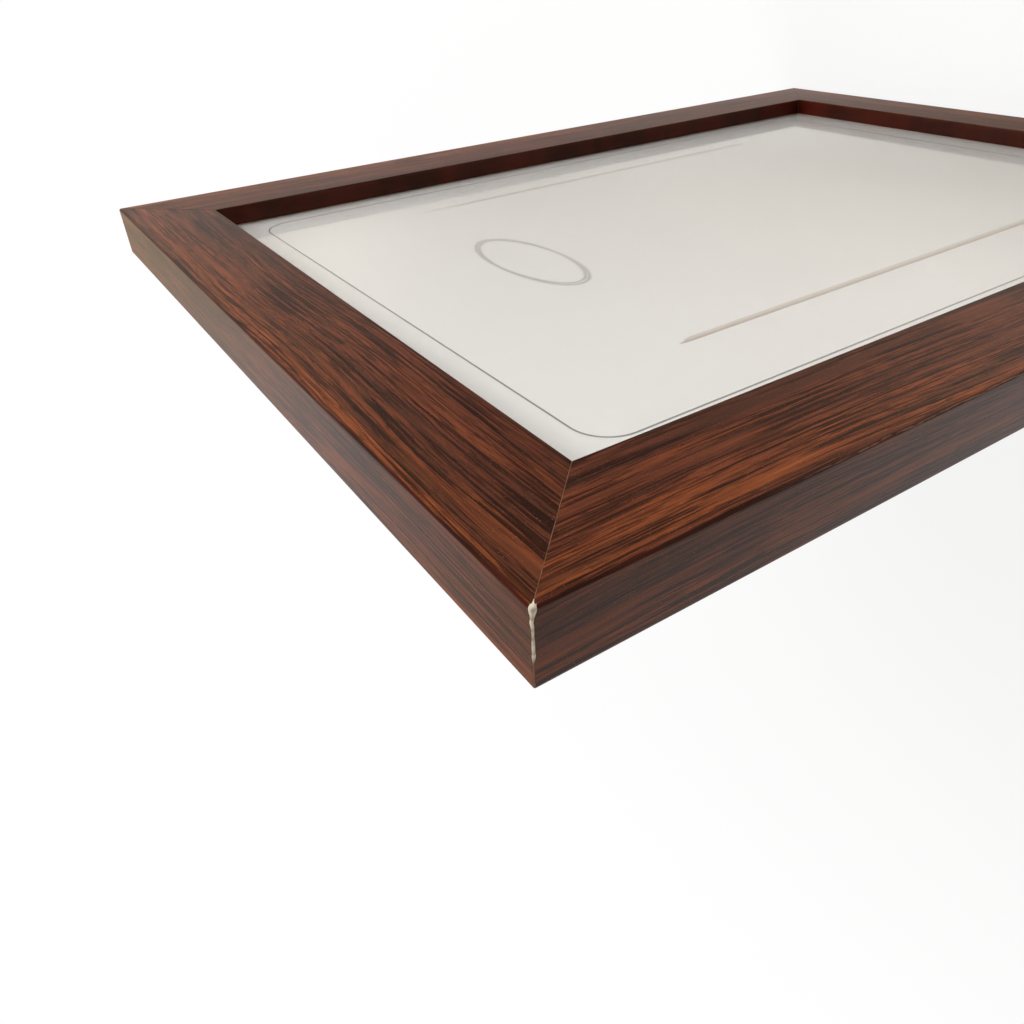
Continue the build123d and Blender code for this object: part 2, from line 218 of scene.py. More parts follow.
def rounded_path(corners, radii):
    """Points along a polyline with rounded inner corners.

    Each run is divided evenly into the same number of steps, and each corner is an arc of its radius that
    leaves and joins the runs a radius away from the corner, because every corner here is square.
    """
    corners = np.array(corners, float)
    runs = np.diff(corners, axis=0)
    ways = runs / np.linalg.norm(runs, axis=1, keepdims=True)
    ends = np.concatenate([[0], radii, [0]])
    share = np.linspace(0, 1, RUN_STEPS)[:, None]
    turn = np.linspace(0, math.pi / 2, ARC_STEPS + 2)[1:-1, None]
    stretches = []
    for index, way in enumerate(ways):
        start = corners[index] + way * ends[index]
        stop = corners[index + 1] - way * ends[index + 1]
        stretches.append(start + (stop - start) * share)
        if index + 1 < len(ways):
            onward = ways[index + 1] * ends[index + 1]
            stretches.append(stop + onward - onward * np.cos(turn) + way * ends[index + 1] * np.sin(turn))
    return np.concatenate(stretches)


def wrap_path(inset):
    """The foil's way round a rail's section, as depth and distance in, moved into the rail by an inset."""
    radii = (BACK_OUTER_RADIUS, FRONT_OUTER_RADIUS, FRONT_INNER_RADIUS)
    return rounded_path(
        [
            (RAIL_BACK - inset, FOIL_TURN),
            (RAIL_BACK - inset, inset),
            (RAIL_FRONT + inset, inset),
            (RAIL_FRONT + inset, RAIL_WIDTH - inset),
            (LIP_BACK, RAIL_WIDTH - inset),
        ],
        [max(radius - inset, LEAST_RADIUS) for radius in radii],
    )


def ragged(place, seed):
    """An uneven edge between 0 and 1: four sine waves of unlike lengths and seeded phases, added up."""
    phase = np.random.default_rng(seed).uniform(0, 2 * math.pi, len(WAVE_LENGTHS))
    waves = np.sin(place[..., None] / (WAVE_LENGTHS * MM) * 2 + phase)
    return np.clip(0.5 + waves @ WAVE_SHARES, 0, 1)


def corner_bites(depth):
    """How far the foil has broken back from the chipped corner, on the top rail and on the left rail.

    Each is a narrow base width, a lump near the front, a knob behind it and an uneven edge, that fades
    out before the back and comes again as a small nick. The lump, knob and nick are bell curves over depth.
    """
    behind = (depth - RAIL_FRONT) / MM
    lump, knob, nick = (np.exp(-((behind - middle) / half_width) ** 2) for middle, half_width in CHIP_BUMPS)
    rise = np.clip((behind - CHIP_RISE[0]) / CHIP_RISE[1], 0, 1) ** 0.5
    fade = np.clip((CHIP_FADE[0] - behind) / CHIP_FADE[1], 0, 1) * rise
    uneven = CHIP_UNEVEN * (ragged(depth, CHIP_SEED) - 0.5)
    bites = {}
    for side, (strip, at_lump, at_knob, at_nick) in CHIP_WIDTHS.items():
        width = CHIP_BASE + fade * (strip + uneven + at_knob * knob + at_lump * lump) + at_nick * nick
        bites[side] = width * MM
    return bites


def on_rail(side, across, inside, depth):
    """Points of a rail: its outer edge's middle, plus a distance along it and a distance in, at a depth."""
    middle, along, inward, _ = RAILS[side]
    across, inside, depth = np.broadcast_arrays(across, inside, depth)
    return np.stack([
        middle[0] + along[0] * across + inward[0] * inside,
        depth,
        middle[1] + along[1] * across + inward[1] * inside,
    ], axis=-1)


def foil_shell(side, chipped_start, chipped_end, grain_start):
    """The foil of one rail: its wrap path and the same path a foil's thickness in, carried along the rail.

    A point's place along the rail runs evenly from one mitre to the other, and the mitre is nearer by
    the point's distance in from the outer edge. A chipped end stops shorter on the rail's outer side.
    The grain map holds the distance along the rail and the distance round the section.
    """
    outer = wrap_path(0)
    inner = wrap_path(FOIL_THICKNESS)
    girth = np.concatenate([[0], np.cumsum(np.linalg.norm(np.diff(outer, axis=0), axis=1))])
    girth = np.concatenate([girth, girth[::-1]])
    depth, inside = np.concatenate([outer, inner[::-1]]).T
    reach = RAILS[side][3] / 2 - inside - MITRE_SETBACK
    on_side = np.clip(1 - inside / (CHIP_LAP * MM), 0, 1)
    chip = on_side * corner_bites(depth).get(side, 0)
    start = -reach + chipped_start * chip
    stop = reach - chipped_end * chip
    across = start + (stop - start) * np.linspace(0, 1, FOIL_SECTIONS)[:, None]
    grain = np.stack(np.broadcast_arrays(across + grain_start, girth), axis=-1)
    return skin("foil_wrap_" + side, on_rail(side, across, inside, depth), grain=grain)


# Printed wood-grain foil under satin lacquer: red-brown ground in dark and orange bands, long sharp
# dark lines, short pores and tiny gold flecks, all along the rail. The lacquer has a low-angle sheen.
printed_foil, tree, shader = start_material("lacquered_rosewood_print")
wrap_place = add(tree, "UVMap", uv_map="grain").outputs[0]
along_rail, round_girth = add(tree, "SeparateXYZ", {0: wrap_place}).outputs[:2]
# The grain sways and ripples: each wave's length, width and detail, and how far it moves the print
swayed = wrap_place
for wave_length, wave_width, detail, shift in (
    (120 * MM, 30 * MM, 1.0, 5 * MM),
    (14 * MM, 2 * MM, 2.0, 0.4 * MM),
):
    spot = {"Vector": wrap_place, "Scale": (1 / wave_length, 1 / wave_width, 1)}
    spot = add(tree, "Mapping", spot).outputs[0]
    wave = {"Vector": spot, "Scale": 1.0, "Detail": detail}
    wave = add(tree, "TexNoise", wave, noise_dimensions="2D").outputs[0]
    swayed = {0: wave, 1: (0, shift, 0), 2: swayed}
    swayed = add(tree, "VectorMath", swayed, operation="MULTIPLY_ADD").outputs[0]
# Each layer of the print, and one that breaks up the painted highlight on the edge: its marks' length and
# width in millimetres, its noise's detail, and the noise that starts and fills a mark. A step between the
# layers' places keeps them from sharing their noise.
LAYER_STEP = (7.3, 3.1)
PRINT_LAYERS = {
    "bands": (170.0, 4.6, 2.0, 0.47, 0.69),
    "fibres": (20.0, 0.8, 3.0, 0.30, 0.70),
    "lines": (38.0, 0.60, 0.0, 0.59, 0.63),
    "hairlines": (16.0, 0.42, 0.0, 0.58, 0.64),
    "crowding": (60.0, 4.0, 1.0, 0.28, 0.46),
    "pores": (6.0, 0.30, 1.0, 0.55, 0.60),
    "sparkle": (0.4, 0.24, 0.0, 0.80, 0.88),
    "glint_breaks": (3.0, 0.5, 1.0, 0.20, 0.55),
}
layers = {}
for number, (name, (mark_length, mark_width, detail, low, high)) in enumerate(PRINT_LAYERS.items()):
    spot = add(tree, "Mapping", {
        "Vector": swayed,
        "Location": (LAYER_STEP[0] * number, LAYER_STEP[1] * number, 0),
        "Scale": (1 / (mark_length * MM), 1 / (mark_width * MM), 1),
    }).outputs[0]
    marks = {"Vector": spot, "Scale": 1.0, "Detail": detail, "Roughness": 0.6}
    marks = add(tree, "TexNoise", marks, noise_dimensions="2D").outputs[0]
    layers[name] = add(tree, "MapRange", {"Value": marks, "From Min": low, "From Max": high}).outputs[0]
# The moulding's own banding across its face, the same on all four rails: shares of the way round the
# section and the tone there, warm by the outer edge and dark further in. The fibres vary the tone, and the
# tone picks the ground's tint.
PRINT_GIRTH = 52.0 * MM
FIBRE_CONTRAST = 0.24
FIBRE_OFFSET = -0.10
BANDING_TONES = (
    (0.20, 0.56), (0.29, 0.52), (0.37, 0.40), (0.42, 0.46), (0.46, 0.76),
    (0.57, 0.66), (0.68, 0.52), (0.77, 0.58), (0.84, 0.50), (0.92, 0.50),
)
GROUND_TINTS = ((0.10, "#2a1914"), (0.32, "#44261b"), (0.55, "#663422"), (0.75, "#824222"), (0.95, "#9c5229"))
girth_share = add(tree, "SeparateXYZ", {0: swayed}).outputs[1]
girth_share = add(tree, "Math", {0: girth_share, 1: PRINT_GIRTH}, operation="DIVIDE").outputs[0]
banding = add(tree, "ValToRGB", {0: girth_share})
tone = {0: layers["fibres"], 1: FIBRE_CONTRAST, 2: FIBRE_OFFSET}
tone = add(tree, "Math", tone, operation="MULTIPLY_ADD").outputs[0]
tone = add(tree, "Math", {0: banding.outputs[0], 1: tone}, operation="ADD").outputs[0]
ground = add(tree, "ValToRGB", {0: tone})
# Soft dark bands, lines, hairlines, pores and gold flecks are drawn over the ground in turn: each with where
# it crowds, its strength and its ink
colour = ground.outputs[0]
crowded = layers["crowding"]
for name, share, strength, ink in (
    ("bands", 1.0, 0.62, "#35231d"),
    ("lines", crowded, 0.80, "#1f0f0b"),
    ("hairlines", crowded, 0.62, "#24120d"),
    ("pores", crowded, 0.50, "#1d0e0a"),
    ("sparkle", 1.0, 0.3, "#b07a4a"),
):
    marks = add(tree, "Math", {0: layers[name], 1: share}, operation="MULTIPLY").outputs[0]
    marks = add(tree, "Math", {0: marks, 1: strength}, operation="MULTIPLY").outputs[0]
    colour = add(tree, "Mix", {0: marks, MIX_A: colour, MIX_B: linear(ink)}, data_type="RGBA").outputs[MIXED]
# Painted shade: a deep dark red is painted round the outer front edge, where it stands for the dark room
# mirrored in the round, and down the lip wall, where it is partly the foil's darker red and partly painted
# shade.
# The red starts at shares of the way round that wander along the rail, and its tint wanders between two dark
# reds.
WANDER_LENGTH = 16 * MM
WANDER = 1.2 * MM
PAINTED_EDGE_SHADE_SHARES = (
    (0.3735, 0), (0.3785, 0.9), (0.3865, 0.9), (0.390, 0.35),
    (0.397, 0), (0.868, 0), (0.885, 0.7), (0.905, 0.95),
)
wander_place = add(tree, "Mapping", {"Vector": wrap_place, "Scale": (1 / WANDER_LENGTH, 0, 1)}).outputs[0]
wander = add(tree, "TexNoise", {"Vector": wander_place, "Scale": 1.0, "Detail": 2.0}, noise_dimensions="2D")
wandered = {0: wander.outputs[0], 1: WANDER, 2: -WANDER / 2}
wandered = add(tree, "Math", wandered, operation="MULTIPLY_ADD").outputs[0]
wandered = add(tree, "Math", {0: round_girth, 1: wandered}, operation="ADD").outputs[0]
wandered = add(tree, "Math", {0: wandered, 1: PRINT_GIRTH}, operation="DIVIDE").outputs[0]
painted_edge_shade = add(tree, "ValToRGB", {0: wandered})
shade_red_choice = add(tree, "SeparateXYZ", {0: wander.outputs[1]}).outputs[1]
shade_red_choice = add(tree, "MapRange", {"Value": shade_red_choice, "From Min": 0.38, "From Max": 0.62}).outputs[0]
painted_shade_red = {0: shade_red_choice, MIX_A: linear("#280805"), MIX_B: linear("#3c0e06")}
painted_shade_red = add(tree, "Mix", painted_shade_red, data_type="RGBA").outputs[MIXED]
colour = {0: painted_edge_shade.outputs[0], MIX_A: colour, MIX_B: painted_shade_red}
colour = add(tree, "Mix", colour, data_type="RGBA").outputs[MIXED]
# Painted highlight: a thin broken pale line is painted along the middle of each long rail's outer front edge,
# where it stands for a glint on the edge's round. The long rails' middles are a quarter of a lap along the
# grain, and the short rails keep clear of that.
GRAIN_LAP = 1200 * MM
PAINTED_GLINT_SHARES = ((0.3795, 0), (0.3833, 0.6), (0.3871, 0))
GLINT_REACH_LAPS = ((0.145, 0), (0.165, 1), (0.335, 1), (0.355, 0))
painted_glint_band = add(tree, "ValToRGB", {0: wandered})
lap = add(tree, "Math", {0: along_rail, 1: GRAIN_LAP}, operation="DIVIDE").outputs[0]
lap = add(tree, "Math", {0: lap}, operation="FRACT").outputs[0]
glint_reach = add(tree, "ValToRGB", {0: lap})
painted_glint = add(tree, "Math", {0: painted_glint_band.outputs[0], 1: layers["glint_breaks"]}, operation="MULTIPLY").outputs[0]
painted_glint = add(tree, "Math", {0: painted_glint, 1: glint_reach.outputs[0]}, operation="MULTIPLY").outputs[0]
colour = {0: painted_glint, MIX_A: colour, MIX_B: linear("#b48a72")}
colour = add(tree, "Mix", colour, data_type="RGBA").outputs[MIXED]
for ramp, stops in (
    (banding, BANDING_TONES),
    (ground, GROUND_TINTS),
    (painted_edge_shade, PAINTED_EDGE_SHADE_SHARES),
    (painted_glint_band, PAINTED_GLINT_SHARES),
    (glint_reach, GLINT_REACH_LAPS),
):
    elements = ramp.color_ramp.elements
    elements[0].position = stops[0][0]
    elements[1].position = stops[-1][0]
    for position, _ in stops[1:-1]:
        elements.new(position)
    for element, (_, level) in zip(elements, stops):
        element.color = linear(level) if isinstance(level, str) else (level, level, level, 1)
pressed = add(tree, "Math", {0: layers["pores"], 1: -1.0}, operation="MULTIPLY").outputs[0]
bump = add(tree, "Bump", {"Height": pressed, "Strength": 0.25, "Distance": 0.03 * MM})
tree.links.new(colour, shader.inputs["Base Color"])
tree.links.new(bump.outputs[0], shader.inputs["Normal"])
shader.inputs["Roughness"].default_value = 0.34
shader.inputs["IOR"].default_value = 1.45
shader.inputs["Specular IOR Level"].default_value = 0.2
shader.inputs["Specular Tint"].default_value = linear("#ffe6cf")

for side, chipped_start, chipped_end, grain_start in (
    ("top", 0, 1, 0),
    ("bottom", 0, 0, 900 * MM),
    ("left", 1, 0, 1500 * MM),
    ("right", 0, 0, 2700 * MM),
):
    mesh = foil_shell(side, chipped_start, chipped_end, grain_start)
    show(mesh, "frame", "wood_grain_foil", printed_foil, "foil_" + side)


# The mitre seams: the sawn edge of the foil's white paper and the board under it, a hair-wide pale line.
# Each runs round the section between two foils. On the bare back the mitre shows as a fine line of glue.
SEAM_SUNK = 0.04 * MM
SEAM_DEPTH = 0.25 * MM
REBATE_WALL = 20.5 * MM
GLUE_WIDTH = 0.16 * MM
GLUE_TOP = RAIL_BACK - FOIL_THICKNESS + 0.01 * MM
GLUE_STEPS = 12
# At the filled corner the line starts in the arc where the wrap path leaves the outer side for the front
SEAM_LEAD = 4
FRONT_STEP = 2 * RUN_STEPS + 2 * ARC_STEPS - SEAM_LEAD
# Each corner, a rail that ends there, which end of it that is, and the step where the seam starts
CORNERS = (
    ("upper_left", "top", 1, FRONT_STEP),
    ("upper_right", "top", -1, 0),
    ("lower_left", "bottom", -1, 0),
    ("lower_right", "bottom", 1, 0),
)


def mitre_strip(name, side, end, edges):
    """A strip along a mitre. Each of its four edges has distances in, depths, and a shift off the mitre.

    In the mitre's plane the place along the rail is half the rail's length less the distance in. A shift goes
    as far along the rail as inwards, which is straight away from that plane. Nothing leaves the solids' box.
    """
    rings = []
    for inside, depth, shift in edges:
        across = end * (RAILS[side][3] / 2 - inside) + shift
        rings.append(on_rail(side, across, inside + end * shift, depth))
    return skin(name, np.clip(np.stack(rings, axis=1), np.array(cad_low), np.array(cad_high)))


# Sawn foil edge: white base paper and light board, a little soiled. The eye sees a thin tan line.
sawn_edge, tree, shader = start_material("sawn_foil_edge")
place = add(tree, "TexCoord").outputs["Object"]
soiled = add(tree, "TexNoise", {"Vector": place, "Scale": 1 / (1.2 * MM), "Detail": 3.0}).outputs[0]
dirt = add(tree, "MapRange", {"Value": soiled, "From Min": 0.35, "From Max": 0.7}).outputs[0]
edge_colour = {0: dirt, MIX_A: linear("#8a634b"), MIX_B: linear("#64422f")}
edge_colour = add(tree, "Mix", edge_colour, data_type="RGBA").outputs[MIXED]
tree.links.new(edge_colour, shader.inputs["Base Color"])
shader.inputs["Roughness"].default_value = 0.8
for corner, side, end, first_step in CORNERS:
    face = wrap_path(SEAM_SUNK)[first_step:]
    deep = wrap_path(SEAM_DEPTH)[first_step:]
    sides = ((face, -1), (face, 1), (deep, 1), (deep, -1))
    edges = [(path[:, 1], path[:, 0], way * MITRE_SETBACK / 2) for path, way in sides]
    show(mitre_strip("mitre_seam_" + corner, side, end, edges), "frame", "fibreboard_core", sawn_edge)


# Set glue: brown, with dust in it. The eye sees a fine dark line across the bare board.
set_glue, tree, shader = start_material("set_wood_glue")
place = add(tree, "TexCoord").outputs["Object"]
dusty = add(tree, "TexNoise", {"Vector": place, "Scale": 1 / (0.8 * MM), "Detail": 3.0}).outputs[0]
glue_colour = {0: dusty, MIX_A: linear("#4a3420"), MIX_B: linear("#7a5c3c")}
glue_colour = add(tree, "Mix", glue_colour, data_type="RGBA").outputs[MIXED]
tree.links.new(glue_colour, shader.inputs["Base Color"])
shader.inputs["Roughness"].default_value = 0.6
glued = np.linspace(REBATE_WALL, FOIL_TURN, GLUE_STEPS)
for corner, side, end, _ in CORNERS:
    sides = ((GLUE_TOP, -1), (GLUE_TOP, 1), (GLUE_TOP - SEAM_DEPTH, 1), (GLUE_TOP - SEAM_DEPTH, -1))
    edges = [(glued, depth, way * GLUE_WIDTH / 2) for depth, way in sides]
    show(mitre_strip("mitre_glue_" + corner, side, end, edges), "frame", "fibreboard_core", set_glue)


# The corner filler: where the foil has chipped off the outer edge of a mitre, pale filler shows.
# It fills the notch flush with both faces, uneven along the edge, with a lump at the front.
FILLER_INNER = 1.5 * MM
FILLER_ROUND = 0.14 * MM
FILLER_LAP = 0.04 * MM
FILLER_SUNK = 0.01 * MM
FILLER_FRONT_GAP = 0.02 * MM
FILLER_BACK_GAP = 0.3 * MM
FILLER_STEPS = 121
# How much of the front edge's round the filler follows
FILLER_FOLLOW = 0.75
# Where behind the front the filler starts to be worn down, and where it is brown
FILLER_WORN = (9.0 * MM, 10.4 * MM)


def filler_bead():
    """A strip along the outer edge of the upper left corner, as wide on each face as the foil's bite there.

    Each ring is a six-sided section across the corner: down the left face, over the blunt edge and along
    the top face, and back through the rail. At either end it comes in with the edge's round, which is the
    radius less the root of the radius squared less the square of what is left of it. At the front it comes
    in by less, so that the lump stands proud of the round.
    """
    depth = np.linspace(RAIL_FRONT + FILLER_FRONT_GAP, RAIL_BACK - FILLER_BACK_GAP, FILLER_STEPS)
    bites = corner_bites(depth)
    wide = bites["top"] + FILLER_LAP
    high = bites["left"] + FILLER_LAP
    left_of_front = np.clip(FRONT_OUTER_RADIUS - (depth - RAIL_FRONT), 0, None)
    front_inset = FRONT_OUTER_RADIUS - np.sqrt(FRONT_OUTER_RADIUS ** 2 - left_of_front ** 2)
    left_of_back = np.clip(BACK_OUTER_RADIUS - (RAIL_BACK - depth), 0, None)
    back_inset = BACK_OUTER_RADIUS - np.sqrt(BACK_OUTER_RADIUS ** 2 - left_of_back ** 2)
    sunk = FILLER_SUNK + FILLER_FOLLOW * front_inset + back_inset
    edge_x = np.full_like(depth, cad_low.x)
    edge_z = np.full_like(depth, cad_high.z)
    corner = [
        (edge_x + FILLER_INNER, edge_z - FILLER_INNER),
        (edge_x + FILLER_INNER / 2, edge_z - FILLER_INNER),
        (edge_x + sunk, edge_z - sunk - high),
        (edge_x + sunk, edge_z - sunk - FILLER_ROUND),
        (edge_x + sunk + FILLER_ROUND, edge_z - sunk),
        (edge_x + sunk + wide, edge_z - sunk),
    ]
    rings = np.stack([np.stack([x, depth, z], axis=-1) for x, z in corner], axis=1)
    return skin("corner_filler", rings)


# Wood filler: chalk-filled paste, dried matt. The eye sees an off-white, slightly stained crust.
pale_filler, tree, shader = start_material("dried_wood_filler")
place = add(tree, "TexCoord").outputs["Object"]
stain = add(tree, "TexNoise", {"Vector": place, "Scale": 1 / (1.4 * MM), "Detail": 3.0}).outputs[0]
crust = add(tree, "TexNoise", {"Vector": place, "Scale": 1 / (0.3 * MM), "Detail": 2.0}).outputs[0]
stained = add(tree, "MapRange", {"Value": stain, "From Min": 0.4, "From Max": 0.75}).outputs[0]
filler_colour = {0: stained, MIX_A: linear("#d8cbb6"), MIX_B: linear("#a58a70")}
filler_colour = add(tree, "Mix", filler_colour, data_type="RGBA").outputs[MIXED]
depth = add(tree, "SeparateXYZ", {0: place}).outputs["Y"]
worn = {"Value": depth, "From Min": RAIL_FRONT + FILLER_WORN[0], "From Max": RAIL_FRONT + FILLER_WORN[1]}
worn = add(tree, "MapRange", worn).outputs[0]
filler_colour = {0: worn, MIX_A: filler_colour, MIX_B: linear("#7d5a48")}
filler_colour = add(tree, "Mix", filler_colour, data_type="RGBA").outputs[MIXED]
bump = add(tree, "Bump", {"Height": crust, "Strength": 0.6, "Distance": 0.1 * MM})
tree.links.new(filler_colour, shader.inputs["Base Color"])
tree.links.new(bump.outputs[0], shader.inputs["Normal"])
shader.inputs["Roughness"].default_value = 0.8
show(filler_bead(), "frame", "fibreboard_core", pale_filler)


# The corner wedges: small bent strips of steel, driven across each mitre from behind, two to a corner.
# They and all the fittings on the back are stamped from strip and zinc-plated.
ZINC_CLOUD = 6 * MM
ZINC_SCUFF = 0.7 * MM
# Zinc-plated steel: a thin bright plating. The eye sees a clouded grey, faintly blue, with dull scuffs.
zinc_steel, tree, shader = start_material("zinc_plated_steel")
place = add(tree, "TexCoord").outputs["Object"]
cloud = add(tree, "TexNoise", {"Vector": place, "Scale": 1 / ZINC_CLOUD, "Detail": 3.0}).outputs[0]
scuff = add(tree, "TexNoise", {"Vector": place, "Scale": 1 / ZINC_SCUFF, "Detail": 2.0}).outputs[0]
zinc_colour = {0: cloud, MIX_A: linear("#94989b"), MIX_B: linear("#bdbcb4")}
zinc_colour = add(tree, "Mix", zinc_colour, data_type="RGBA").outputs[MIXED]
dulled = {"Value": scuff, "From Min": 0.3, "From Max": 0.7, "To Min": 0.22, "To Max": 0.40}
dulled = add(tree, "MapRange", dulled).outputs[0]
tree.links.new(zinc_colour, shader.inputs["Base Color"])
tree.links.new(dulled, shader.inputs["Roughness"])
shader.inputs["Metallic"].default_value = 1.0
dress(zinc_steel, "corner_wedges")


# The glazing: a thin flat pane of clear acrylic that lies in the rebate against the back of the lip.
# It is cut from clear sheet, and the board behind presses it forward. The lamps light the insert through it.
SMEAR_SIZE = 90 * MM
# Clear acrylic: the eye sees the rails and the room in it at low angles, a little soft, because wiping has
# left a faint haze
clear_pane, tree, shader = start_material("clear_acrylic")
place = add(tree, "TexCoord").outputs["Object"]
smears = add(tree, "TexNoise", {"Vector": place, "Scale": 1 / SMEAR_SIZE, "Detail": 1.0}).outputs[0]
haze = {"Value": smears, "From Min": 0.3, "From Max": 0.7, "To Min": 0.06, "To Max": 0.085}
haze = add(tree, "MapRange", haze).outputs[0]
tree.links.new(haze, shader.inputs["Roughness"])
shader.inputs["Base Color"].default_value = linear("#ffffff")
shader.inputs["IOR"].default_value = 1.49
shader.inputs["Transmission Weight"].default_value = 1.0
rays = add(tree, "LightPath").outputs
lit_through = {0: rays["Is Shadow Ray"], 1: rays["Is Diffuse Ray"]}
lit_through = add(tree, "Math", lit_through, operation="MAXIMUM").outputs[0]
clear = add(tree, "BsdfTransparent").outputs[0]
pane = add(tree, "MixShader", {0: lit_through, 1: shader.outputs[0], 2: clear}).outputs[0]
tree.links.new(pane, tree.nodes["Material Output"].inputs["Surface"])
dress(clear_pane, "glazing")


# The insert: one sheet of smooth card behind the pane, printed with a border, a ring and fine rules.
# It lies flat, with the faint waves of paper that has taken up a little damp.
SHEET_LOW, SHEET_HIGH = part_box("insert_sheet")
SHEET_GAP = 0.09 * MM
SHEET_WAVE = 0.02 * MM
WAVE_ACROSS = 31 * MM
WAVE_UP = 43 * MM
CARD_STEPS = (43, 61)
CARD_CLOUD = 5 * MM


def insert_card():
    """A thin closed sheet: the front is a plane with two crossed sine waves, and the back is flat."""
    x = np.linspace(SHEET_LOW.x, SHEET_HIGH.x, CARD_STEPS[0])
    z = np.linspace(SHEET_LOW.z, SHEET_HIGH.z, CARD_STEPS[1])[:, None]
    wave = SHEET_WAVE * np.sin(x / WAVE_ACROSS) * np.sin(z / WAVE_UP)
    front = np.stack(np.broadcast_arrays(x, SHEET_LOW.y + SHEET_GAP + wave, z), axis=-1)
    back = np.stack(np.broadcast_arrays(x[::-1], SHEET_HIGH.y, z), axis=-1)
    return skin("insert_card", np.concatenate([front, back], axis=1))


# Coated card: bleached fibre under a smooth clay coat. The eye sees a warm white with faint clouds.
coated_card, tree, shader = start_material("coated_white_card")
place = add(tree, "TexCoord").outputs["Object"]
formation = add(tree, "TexNoise", {"Vector": place, "Scale": 1 / CARD_CLOUD, "Detail": 3.0}).outputs[0]
card_colour = {0: formation, MIX_A: linear("#f0ede8"), MIX_B: linear("#eae7e2")}
card_colour = add(tree, "Mix", card_colour, data_type="RGBA").outputs[MIXED]
tree.links.new(card_colour, shader.inputs["Base Color"])
shader.inputs["Roughness"].default_value = 0.55
show(insert_card(), "frame", "printed_paper", coated_card, "insert_sheet")

# The print: a border with round corners, a ring of two lines over a pale band, and a rule down each side.
# It lies a little askew on the card. Its lines are drawn as flat strips on the card's face.
SIGHT_MIDDLE = OBJECT_HEIGHT / 2
BORDER_MIDDLE = 1.6 * MM
BORDER_HALF = (91.5 * MM, 130.95 * MM)
BORDER_RADIUS = 9.0 * MM
BORDER_LINE = 0.5 * MM
BORDER_ARC_STEPS = 16
PRINT_TURN = math.radians(0.4)
INK_FRONT = SHEET_LOW.y + 0.05 * MM
INK_BACK = SHEET_LOW.y + SHEET_GAP + 0.03 * MM
OVERPRINT = 0.01 * MM
OVAL_CENTRE = (4.93 * MM, 250.48 * MM)
OVAL_STEPS = 96
RULE_STEPS = 80
RULE_BLUNT = 0.9 * MM
RULE_POINT = 2.0 * MM


def ink_line(name, path, width, looped, raised=0.0):
    """A printed line: a flat four-cornered section, as wide as the line, carried along a path.

    Each point of the path is moved half the width to either side, at right angles to the path there.
    A line that is printed over another one is raised a hair nearer to the pane.
    """
    if looped:
        heading = np.roll(path, -1, axis=0) - np.roll(path, 1, axis=0)
    else:
        heading = np.gradient(path, axis=0)
    heading /= np.linalg.norm(heading, axis=1, keepdims=True)
    half = np.broadcast_to(width, len(path))[:, None] / 2
    aside = np.stack([heading[:, 1], -heading[:, 0]], axis=1) * half
    front = INK_FRONT - raised
    section = ((1, front), (-1, front), (-1, INK_BACK), (1, INK_BACK))
    rings = np.stack([np.insert(path + way * aside, 1, depth, axis=1) for way, depth in section], axis=1)
    return skin(name, rings, looped)


def askew(path):
    """A path of the print as it lies on the card: turned about the border's middle."""
    across = (math.cos(PRINT_TURN), math.sin(PRINT_TURN))
    upward = (-math.sin(PRINT_TURN), math.cos(PRINT_TURN))
    middle = (BORDER_MIDDLE, SIGHT_MIDDLE)
    return (path - middle) @ np.array([across, upward]) + middle


def border_path():
    """A rectangle with round corners: a quarter circle at each corner, about the corner's own centre."""
    turn = np.linspace(0, math.pi / 2, BORDER_ARC_STEPS)
    turns = np.concatenate([turn + quarter * math.pi / 2 for quarter in range(4)])
    signs = np.repeat([(1, 1), (-1, 1), (-1, -1), (1, -1)], BORDER_ARC_STEPS, axis=0)
    centres = signs * (np.array(BORDER_HALF) - BORDER_RADIUS)
    arcs = centres + BORDER_RADIUS * np.stack([np.cos(turns), np.sin(turns)], axis=1)
    return arcs + (BORDER_MIDDLE, SIGHT_MIDDLE)


def oval_line(name, half_axes, width, swell, raised):
    """A line round an ellipse: cosine across and sine up, by its half axes, and wider towards its two ends.

    The width grows by the swell with the cosine's size, which is 0 at the top and the foot and 1 at the ends.
    """
    turn = np.linspace(0, 2 * math.pi, OVAL_STEPS, endpoint=False)
    path = np.stack([half_axes[0] * np.cos(turn), half_axes[1] * np.sin(turn)], axis=1)
    width = width + swell * np.abs(np.cos(turn))
    return ink_line(name, askew(np.array(OVAL_CENTRE) + path), width, True, raised)


def rule_line(name, across, top, point, foot, width, swell, raised):
    """A rule down the card, from its top to its foot: it swells evenly on the way, and both ends are pointed.

    Towards an end the width falls evenly over the point's length, to the blunt tip's share of it.
    """
    height = np.linspace(top, foot, RULE_STEPS)
    path = np.stack([np.full_like(height, across), height], axis=1)
    upper = (top - height + RULE_BLUNT) / (point + RULE_BLUNT)
    lower = (height - foot + RULE_BLUNT) / (RULE_POINT + RULE_BLUNT)
    taper = np.clip(np.minimum(upper, lower), 0, 1)
    swelling = 1 + swell * (top - height) / (top - foot)
    return ink_line(name, askew(path), width * taper * swelling, False, raised)


def offset_ink(name, thin, full, patch):
    """A material of offset ink, half matt: two near tints in patches of a size in millimetres.

    Thin ink lets the card through unevenly, so the eye sees a line that is a little lighter in places.
    """
    material, tree, shader = start_material(name)
    place = add(tree, "TexCoord").outputs["Object"]
    patchy = add(tree, "TexNoise", {"Vector": place, "Scale": 1 / (patch * MM), "Detail": 2.0}).outputs[0]
    ink_colour = {0: patchy, MIX_A: linear(thin), MIX_B: linear(full)}
    ink_colour = add(tree, "Mix", ink_colour, data_type="RGBA").outputs[MIXED]
    tree.links.new(ink_colour, shader.inputs["Base Color"])
    shader.inputs["Roughness"].default_value = 0.5
    return material


